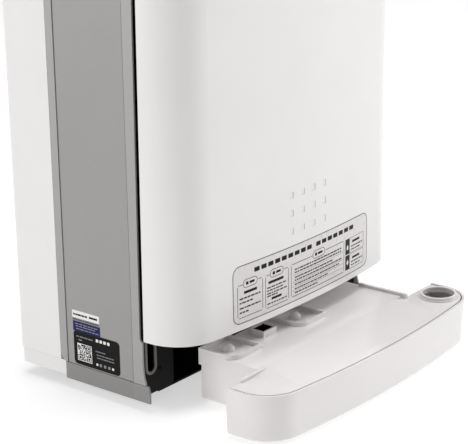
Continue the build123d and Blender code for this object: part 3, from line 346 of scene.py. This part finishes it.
class Sheet:
    """Thin closed slips of one material lying on a surface."""

    def __init__(self, place, low, high):
        self.place = place
        self.low = low
        self.high = high
        self.mesh = bmesh.new()

    def loops(self, outline):
        low = [self.mesh.verts.new(self.place(u, v, self.low)) for u, v in outline]
        high = [self.mesh.verts.new(self.place(u, v, self.high)) for u, v in outline]
        return low, high

    def strip(self, upper, lower):
        """A filled shape between an upper and a lower edge."""
        low_a, high_a = self.loops(upper)
        low_b, high_b = self.loops(lower)
        new = self.mesh.faces.new
        for i in range(len(upper) - 1):
            j = i + 1
            new((high_a[i], high_b[i], high_b[j], high_a[j]))
            new((low_a[j], low_b[j], low_b[i], low_a[i]))
            new((low_a[i], high_a[i], high_a[j], low_a[j]))
            new((low_b[j], high_b[j], high_b[i], low_b[i]))
        for i, flip in ((0, False), (len(upper) - 1, True)):
            end = (low_a[i], low_b[i], high_b[i], high_a[i])
            new(tuple(reversed(end)) if flip else end)

    def bar(self, u0, u1, v0, v1, radius=0.0):
        self.strip(*rounded(u0, u1, v0, v1, radius))

    def ring(self, u0, u1, v0, v1, radius, width):
        """A line of that width round a rectangle with round corners."""
        outlines = []
        for inset in (0.0, width):
            upper, lower = rounded(u0 + inset, u1 - inset, v0 + inset, v1 - inset, max(0.01, radius - inset))
            outlines.append(upper + lower[-2:0:-1])
        low_a, high_a = self.loops(outlines[0])
        low_b, high_b = self.loops(outlines[1])
        new = self.mesh.faces.new
        for i in range(len(low_a)):
            j = (i + 1) % len(low_a)
            new((high_a[i], high_a[j], high_b[j], high_b[i]))
            new((low_a[j], low_a[i], low_b[i], low_b[j]))
            new((low_a[i], low_a[j], high_a[j], high_a[i]))
            new((low_b[j], low_b[i], high_b[i], high_b[j]))

    def piece(self, name, graph, slot, body="housing"):
        bmesh.ops.remove_doubles(self.mesh, verts=self.mesh.verts, dist=1e-7)
        return finished(name, self.mesh, graph, body)


def finished(name, mesh, graph, body):
    """A mesh object with its material that rides on a body."""
    bmesh.ops.dissolve_degenerate(mesh, edges=mesh.edges, dist=1e-8)
    bmesh.ops.recalc_face_normals(mesh, faces=mesh.faces)
    data = bpy.data.meshes.new(name)
    mesh.to_mesh(data)
    mesh.free()
    piece = bpy.data.objects.new(name, data)
    bpy.context.scene.collection.objects.link(piece)
    data.materials.append(graph.material)
    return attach(piece, body)


# ---------------------------------------------------------------- information label on the cover
LABEL_SHIFT = (-2.2, 1.05)      # from the label's own coordinates to the cover's x and z
LABEL = (-107.0, 113.5, 76.5, 133.8)
LABEL_CORNER = 9.0
BOXES = (                       # u0, u1, v0, v1 and the heading pill's u0, u1
    (-101.0, -65.6, 82.0, 114.9, -93.2, -73.2),
    (-62.0, -27.0, 81.2, 114.5, -55.2, -35.2),
    (-23.3, 67.8, 81.5, 115.0, 11.6, 32.6),
)
SIDE_BOXES = ((70.4, 106.0, 98.3, 114.5), (70.4, 106.0, 81.8, 97.3))
FILM_LIFT = 0.08
INK_LIFT = 0.12


def dashes(sheet, u0, u1, v, height, seed, gap=0.9):
    """A line of short bars that stands for a line of print."""
    rng = random.Random(seed)
    u = u0
    while u < u1 - 1.5:
        end = min(u1, u + rng.uniform(2.2, 6.0))
        sheet.bar(u, end, v - height / 2, v + height / 2)
        u = end + gap * rng.uniform(0.6, 1.2)


def information_label():
    film = Sheet(on_label, -0.3, FILM_LIFT)
    film.bar(*LABEL, LABEL_CORNER)
    film.piece("label_film", label_film, "cover_white")
    line = Sheet(on_label, FILM_LIFT - 0.02, INK_LIFT)
    line.ring(*LABEL, LABEL_CORNER, 0.75)
    for u0, u1, v0, v1, pill0, pill1 in BOXES:
        for low, high in ((u0, pill0), (pill1, u1)):
            line.bar(low + 1.5, high - (1.5 if high == u1 else 0), v1 - 0.6, v1)
        line.bar(u0 + 1.5, u1 - 1.5, v0, v0 + 0.6)
        line.bar(u0, u0 + 0.6, v0 + 1.5, v1 - 1.5)
        line.bar(u1 - 0.6, u1, v0 + 1.5, v1 - 1.5)
        line.ring(pill0, pill1, v1 - 4.3, v1 + 4.0, 4.1, 0.6)
    for u0, u1, v0, v1 in SIDE_BOXES:
        line.ring(u0, u1, v0, v1, 1.0, 0.4)
        line.bar(u0, u0 + 8.2, v0, v1)
    line.piece("label_lines", ink_black, "black_plastic")

    print_dark = Sheet(on_label, FILM_LIFT - 0.02, INK_LIFT - 0.01)
    for start, count in ((-77.5, 9), (17.5, 7)):
        for index in range(count):
            u = start + 10.0 * index
            print_dark.bar(u, u + 7.6, 122.9, 127.3, 0.6)
    for u0, u1, v0, v1, pill0, pill1 in BOXES:
        print_dark.bar(pill0 + 4, pill0 + 7.5, v1 - 1.7, v1 + 1.5, 0.6)
        print_dark.bar(pill0 + 9, pill1 - 4, v1 - 1.3, v1 + 1.1, 0.4)
    print_dark.bar(-92, -74, 104.9, 107.6, 0.5)
    print_dark.bar(-57.5, -35, 105.0, 107.7, 0.5)
    print_dark.bar(-53, -38, 88.2, 90.7, 0.5)
    for u0, u1, v0, v1 in SIDE_BOXES:
        print_dark.bar(u0 + 13, u1 - 8, v1 - 6.0, v1 - 3.6, 0.5)
    print_dark.piece("label_headings", ink_black, "black_plastic")

    text = Sheet(on_label, FILM_LIFT - 0.02, INK_LIFT - 0.02)
    for seed, (v, u1) in enumerate(((100.9, -69), (96.8, -80), (91.6, -69), (87.3, -86))):
        dashes(text, -98.2, u1, v, 1.5, seed)
    for seed, (v, u1) in enumerate(((101.4, -30), (98.4, -34), (95.4, -30), (92.9, -44), (85.2, -30))):
        dashes(text, -59.5, u1, v, 1.3, 20 + seed)
    for seed, (v, u1) in enumerate(
        ((108.6, 64), (105.6, 62), (100.6, 48), (97.6, 64), (93.4, 58), (88.9, 40), (84.9, 20))
    ):
        dashes(text, -17.5, u1, v, 1.4, 40 + seed)
    for v in (103.2, 95.6, 91.2, 87.0):
        text.bar(-20.5, 66.0, v - 0.13, v + 0.13)
    for seed, (u0, u1, v0, v1) in enumerate(SIDE_BOXES):
        dashes(text, u0 + 11, u1 - 2.5, v0 + 6.6, 1.3, 60 + seed)
        dashes(text, u0 + 11, u1 - 6, v0 + 3.2, 1.3, 70 + seed)
    text.piece("label_print", ink_grey, "black_plastic")

    marks = Sheet(on_label, INK_LIFT - 0.02, INK_LIFT + 0.03)
    middle = SIDE_BOXES[0][0] + 4.1
    drop_upper, drop_lower = [], []
    for step in range(9):
        angle = math.radians(180 * step / 8)
        u = middle - 1.7 * math.cos(angle)
        drop_upper.append((u, 104.6 + 3.6 * max(0.0, math.sin(angle)) ** 2))
        drop_lower.append((u, 104.6 - 1.7 * math.sin(angle)))
    marks.strip(drop_upper, drop_lower)
    marks.strip(
        [(middle - 2, 89.6), (middle, 92.8), (middle + 2, 89.6)],
        [(middle - 2, 89.6), (middle, 86.4), (middle + 2, 89.6)],
    )
    marks.piece("label_pictograms", ink_white, "cover_white")


# ---------------------------------------------------------------- stickers on the left side panel
STICKER_LIFT = 0.10
PRINT_LIFT = 0.14
CODE = (61.6, 80.2, 32.5, 50.1)
CODE_CELLS = 21


def code_cells():
    """Cells of a made-up block pattern that encodes nothing."""
    rng = random.Random(7)
    cells = [[rng.random() < 0.48 for _ in range(CODE_CELLS)] for _ in range(CODE_CELLS)]
    last = CODE_CELLS - 7
    for row0, column0 in ((0, 0), (0, last), (last, 0)):
        for row in range(7):
            for column in range(7):
                edge = max(abs(row - 3), abs(column - 3))
                cells[row0 + row][column0 + column] = edge != 2
    return cells


def side_stickers():
    base = Sheet(on_side, -0.1, STICKER_LIFT)
    base.bar(25.6, 84.7, 28.3, 62.6, 4.0)
    base.piece("sticker_base", sticker_black, "black_plastic")
    blue = Sheet(on_side, -0.1, PRINT_LIFT)
    blue.bar(49.8, 84.8, 62.0, 72.2)
    blue.piece("sticker_blue", ink_blue, "panel_dark")
    silver = Sheet(on_side, -0.1, PRINT_LIFT)
    silver.bar(50.4, 85.4, 72.2, 75.4)
    for v, u0 in ((56.9, 60.0), (53.6, 74.0)):
        dashes(silver, u0, 81.0, v, 1.1, int(v))
    for v, u0 in ((46.9, 44.0), (43.4, 33.5), (40.4, 33.0)):
        dashes(silver, u0, 56.5, v, 0.9, int(v), 0.5)
    for u in (50.5, 45.0, 39.5):
        silver.bar(u - 1.4, u + 1.4, 32.0, 35.0, 0.5)
    silver.piece("sticker_silver", ink_silver, "steel_plate")
    white = Sheet(on_side, -0.1, PRINT_LIFT)
    white.bar(50.4, 85.4, 75.4, 83.0)
    white.bar(*CODE)
    for u in (54.4, 49.6, 44.8, 40.0):
        white.bar(u - 1.8, u + 1.4, 56.4, 59.4, 0.4)
    for u in (55.0, 34.8):
        white.bar(u - 1.2, u + 1.2, 32.3, 34.6, 0.4)
    white.piece("sticker_white", ink_white, "casing_white")

    over = Sheet(on_side, PRINT_LIFT - 0.02, PRINT_LIFT + 0.04)
    u0, u1, v0, v1 = CODE
    cell = (u1 - u0 - 1.6) / CODE_CELLS
    for row, line in enumerate(code_cells()):
        column = 0
        while column < CODE_CELLS:
            run = column
            while run < CODE_CELLS and line[run]:
                run += 1
            if run > column:
                left = u0 + 0.8 + column * cell
                low = v0 + 0.8 + row * cell * (v1 - v0) / (u1 - u0)
                over.bar(left, left + (run - column) * cell, low, low + cell)
            column = run + 1
    dashes(over, 66.0, 84.0, 79.0, 1.8, 3, 0.6)
    over.bar(53.0, 63.5, 78.2, 80.2, 0.4)
    dashes(over, 52.0, 84.0, 73.8, 0.8, 5)
    over.piece("sticker_dark_print", ink_black, "black_plastic")
    pale = Sheet(on_side, PRINT_LIFT - 0.02, PRINT_LIFT + 0.04)
    for v, low, high in ((69.6, 53.0, 82.5), (67.3, 56.0, 82.5), (64.6, 52.0, 81.0)):
        dashes(pale, low, high, v, 0.9, int(v))
    pale.piece("sticker_pale_print", ink_silver, "steel_plate")


# ---------------------------------------------------------------- control panel print and display
def arc_ring(sheet, u, v, outer, width):
    sheet.ring(u - outer, u + outer, v - outer, v + outer, outer, width)


def panel_print():
    ink = Sheet(on_panel, -0.05, 0.06)
    icon_y = BUTTON_Y - 12.0
    power, timer, drop, minus, plus = BUTTON_X
    arc_ring(ink, power, icon_y, 2.6, 0.6)
    ink.bar(power - 0.35, power + 0.35, icon_y + 0.4, icon_y + 3.4)
    arc_ring(ink, timer, icon_y, 2.6, 0.5)
    ink.bar(timer - 0.3, timer + 0.3, icon_y - 0.2, icon_y + 1.7)
    ink.bar(timer + 0.3, timer + 1.6, icon_y - 0.2, icon_y + 0.3)
    upper, lower = [], []
    for step in range(13):
        angle = math.radians(180 * step / 12)
        u = drop - 2.0 * math.cos(angle)
        upper.append((u, icon_y - 0.6 + 3.8 * math.sin(angle) ** 2))
        lower.append((u, icon_y - 0.6 - 2.0 * math.sin(angle)))
    ink.strip(upper, lower)
    for u in (minus, plus):
        ink.bar(u - 2.2, u + 2.2, icon_y - 0.4, icon_y + 0.4)
    ink.bar(plus - 0.4, plus + 0.4, icon_y + 0.4, icon_y + 2.2)
    ink.bar(plus - 0.4, plus + 0.4, icon_y - 2.2, icon_y - 0.4)
    for u in (-12.0, 0.0, 12.0):
        ink.bar(u - 0.8, u + 0.8, BUTTON_Y + 12.0, BUTTON_Y + 13.6, 0.8)
    ink.piece("panel_icons", ink_white, "button_grey")

    lit = Sheet(on_panel, -0.05, 0.04)
    segments = {                # u0, u1, v0, v1 inside a digit 6 wide and 11 high
        "a": (0.8, 5.2, 10.1, 11.0), "b": (5.1, 6.0, 5.9, 10.2), "c": (5.1, 6.0, 0.8, 5.1),
        "d": (0.8, 5.2, 0.0, 0.9), "e": (0.0, 0.9, 0.8, 5.1), "f": (0.0, 0.9, 5.9, 10.2),
        "g": (0.8, 5.2, 5.05, 5.95),
    }
    for left, shown in ((-8.5, "afgcd"), (2.0, "abcdef")):
        for name in shown:
            u0, u1, v0, v1 = segments[name]
            lit.bar(left + u0, left + u1, BUTTON_Y - 5.5 + v0, BUTTON_Y - 5.5 + v1)
    lit.piece("display_digits", display_light, "window_smoke")


# ---------------------------------------------------------------- coils and filter
def add_box(mesh, low, high):
    """A box between two corners in millimetres."""
    (x0, y0, z0), (x1, y1, z1) = low, high
    corners = [point(x, y, z) for z in (z0, z1) for y in (y0, y1) for x in (x0, x1)]
    verts = [mesh.verts.new(corner) for corner in corners]
    for face in ((0, 2, 3, 1), (4, 5, 7, 6), (0, 1, 5, 4), (2, 6, 7, 3), (0, 4, 6, 2), (1, 3, 7, 5)):
        mesh.faces.new([verts[i] for i in face])


def add_tube(mesh, path, radius, sides=12):
    """A round tube along points in millimetres that lie in an XZ plane."""
    rings = []
    for index, here in enumerate(path):
        before = path[max(0, index - 1)]
        after = path[min(len(path) - 1, index + 1)]
        along = (Vector(after) - Vector(before)).normalized()
        across = Vector((0, 1, 0))
        third = along.cross(across)
        ring = []
        for side in range(sides):
            angle = 2 * math.pi * side / sides
            offset = across * math.cos(angle) * radius + third * math.sin(angle) * radius
            ring.append(mesh.verts.new((Vector(here) + offset) * MM))
        rings.append(ring)
    for first, second in zip(rings, rings[1:]):
        for side in range(sides):
            after = (side + 1) % sides
            mesh.faces.new((first[side], first[after], second[after], second[side]))
    mesh.faces.new(list(reversed(rings[0])))
    mesh.faces.new(rings[-1])


def coil(node):
    """A coil with separate fins on copper tubes in place of the CAD block."""
    low, high = (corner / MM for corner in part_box(node))
    pitch = (high.z - low.z) / COIL_BENDS
    bend_r = pitch / 4
    x0 = low.x + bend_r + COIL_TUBE_R
    x1 = high.x - bend_r - COIL_TUBE_R
    fins = bmesh.new()
    count = int((x1 - x0) / FIN_PITCH)
    for index in range(count + 1):
        x = x0 + (x1 - x0 - FIN_T) * index / count
        add_box(fins, (x, low.y, low.z), (x + FIN_T, high.y, high.z))
    finished(node + "_fins", fins, materials["fin_aluminium"], "housing")
    tubes = bmesh.new()
    y = (low.y + high.y) / 2
    for row in range(COIL_BENDS):
        z = low.z + pitch * (row + 0.5)
        path = []
        for centre, first in ((x1, -90), (x0, 90)):
            for step in range(9):
                angle = math.radians(first + 22.5 * step)
                path.append((centre + bend_r * math.cos(angle), y, z + bend_r * math.sin(angle)))
        path.append((x1 - 2.0, y, z - bend_r))
        add_tube(tubes, path, COIL_TUBE_R)
    copper = finished(node + "_tubes", tubes, materials["copper"], "housing")
    for face in copper.data.polygons:
        face.use_smooth = len(face.vertices) == 4
    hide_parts(node)


def filter_unit():
    """A filter frame with ribs and a woven mesh in place of the CAD sheet."""
    low, high = (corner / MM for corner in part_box("air_filter"))
    left, right = low.x + FILTER_BORDER, high.x - FILTER_BORDER
    bottom, top = low.z + FILTER_BORDER, high.z - FILTER_BORDER
    frame_mesh = bmesh.new()
    add_box(frame_mesh, (low.x, low.y, low.z), (left, high.y, high.z))
    add_box(frame_mesh, (right, low.y, low.z), (high.x, high.y, high.z))
    add_box(frame_mesh, (left, low.y, low.z), (right, high.y, bottom))
    add_box(frame_mesh, (left, low.y, top), (right, high.y, high.z))
    for index in range(1, FILTER_BAYS):
        x = low.x + (high.x - low.x) * index / FILTER_BAYS
        add_box(frame_mesh, (x - RIB_HALF, low.y, bottom), (x + RIB_HALF, high.y, top))
    middle = (low.z + high.z) / 2
    cross_low = (left, low.y + 0.4, middle - RIB_HALF)
    add_box(frame_mesh, cross_low, (right, high.y - 0.4, middle + RIB_HALF))
    rim = finished("air_filter_frame", frame_mesh, materials["filter_mesh"], "filter_unit")
    threads = bmesh.new()
    y = low.y + 2.6
    half = THREAD_T / 2
    for index in range(int((high.x - low.x - 2 * FILTER_BORDER) / THREAD_PITCH)):
        x = left + THREAD_PITCH * (index + 0.5)
        add_box(threads, (x - half, y, low.z + 4), (x + half, y + THREAD_T, high.z - 4))
    for index in range(int((high.z - low.z - 2 * FILTER_BORDER) / THREAD_PITCH)):
        z = bottom + THREAD_PITCH * (index + 0.5)
        add_box(threads, (low.x + 4, y + THREAD_T, z - half), (high.x - 4, y + 2 * THREAD_T, z + half))
    finished("air_filter_weave", threads, materials["filter_mesh"], "filter_unit")
    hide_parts("air_filter")


information_label()
side_stickers()
panel_print()
for coil_node in ("evaporator_coil", "condenser_coil"):
    coil(coil_node)
filter_unit()


# ---------------------------------------------------------------- floor, light and camera
FLOOR_HALF = 12.0              # metres, as all lengths from here on
FLOOR_GAP = 0.0002
FLOOR_GLOW = 0.55
WORLD_STRENGTH = 0.21


def floor():
    """A plain pale floor that stays nearly white."""
    mesh = bmesh.new()
    bmesh.ops.create_grid(mesh, x_segments=1, y_segments=1, size=FLOOR_HALF)
    data = bpy.data.meshes.new("floor")
    mesh.to_mesh(data)
    mesh.free()
    plane = bpy.data.objects.new("floor", data)
    bpy.context.scene.collection.objects.link(plane)
    plane.location.z = -FLOOR_GAP
    g = Graph("floor_white")
    g.shade(Base_Color=g.blend(g.noise(900), (0.59, 0.59, 0.59, 1), (0.61, 0.61, 0.61, 1)))
    g.shade(Roughness=0.9, Emission_Color=(1, 1, 1, 1), Emission_Strength=FLOOR_GLOW)
    data.materials.append(g.material)


def soft_light(name, place, aim, width, height, power):
    data = bpy.data.lights.new(name, "AREA")
    data.shape = "RECTANGLE"
    data.size = width
    data.size_y = height
    data.energy = power
    lamp = bpy.data.objects.new(name, data)
    bpy.context.scene.collection.objects.link(lamp)
    lamp.location = place
    lamp.rotation_mode = "QUATERNION"
    lamp.rotation_quaternion = (Vector(aim) - Vector(place)).to_track_quat("-Z", "Y")


def studio():
    world = bpy.data.worlds.new("studio")
    bpy.context.scene.world = world
    world.use_nodes = True
    background = world.node_tree.nodes["Background"]
    background.inputs["Color"].default_value = (1, 1, 1, 1)
    background.inputs["Strength"].default_value = WORLD_STRENGTH
    aim = (0.0, 0.0, 0.25)
    soft_light("key_right", (3.0, -2.2, 1.3), aim, 1.8, 1.8, 55)
    soft_light("fill_left", (-3.0, 2.0, 1.2), aim, 1.8, 1.8, 52)
    soft_light("top", (0.2, -0.2, 2.8), aim, 2.0, 2.0, 62)
    view_settings = bpy.context.scene.view_settings
    view_settings.view_transform = "Standard"
    view_settings.look = "None"


CAMERA_PLACE = (-1.2224, -0.9535, 0.6377)
CAMERA_AZIMUTH = -51.1
CAMERA_ELEVATION = 17.8
CAMERA_ROLL = -0.9
CAMERA_LENS = 126.7            # on a 36 mm sensor
CAMERA_SHIFT = (0.0111, 0.0024)


def camera():
    azimuth = math.radians(CAMERA_AZIMUTH)
    elevation = math.radians(CAMERA_ELEVATION)
    roll = math.radians(CAMERA_ROLL)
    level = math.cos(elevation)
    back = Vector((math.sin(azimuth) * level, -math.cos(azimuth) * level, math.sin(elevation)))
    right = Vector((math.cos(azimuth), math.sin(azimuth), 0))
    up = back.cross(right)
    turned_right = right * math.cos(roll) + up * math.sin(roll)
    turned_up = up * math.cos(roll) - right * math.sin(roll)
    matrix = Matrix((turned_right, turned_up, back)).transposed().to_4x4()
    matrix.translation = CAMERA_PLACE
    data = bpy.data.cameras.new("camera")
    data.lens = CAMERA_LENS
    data.sensor_width = 36
    data.shift_x, data.shift_y = CAMERA_SHIFT
    data.clip_start, data.clip_end = 0.05, 40
    cam = bpy.data.objects.new("camera", data)
    bpy.context.scene.collection.objects.link(cam)
    cam.matrix_world = matrix
    bpy.context.scene.camera = cam


floor()
studio()
camera()
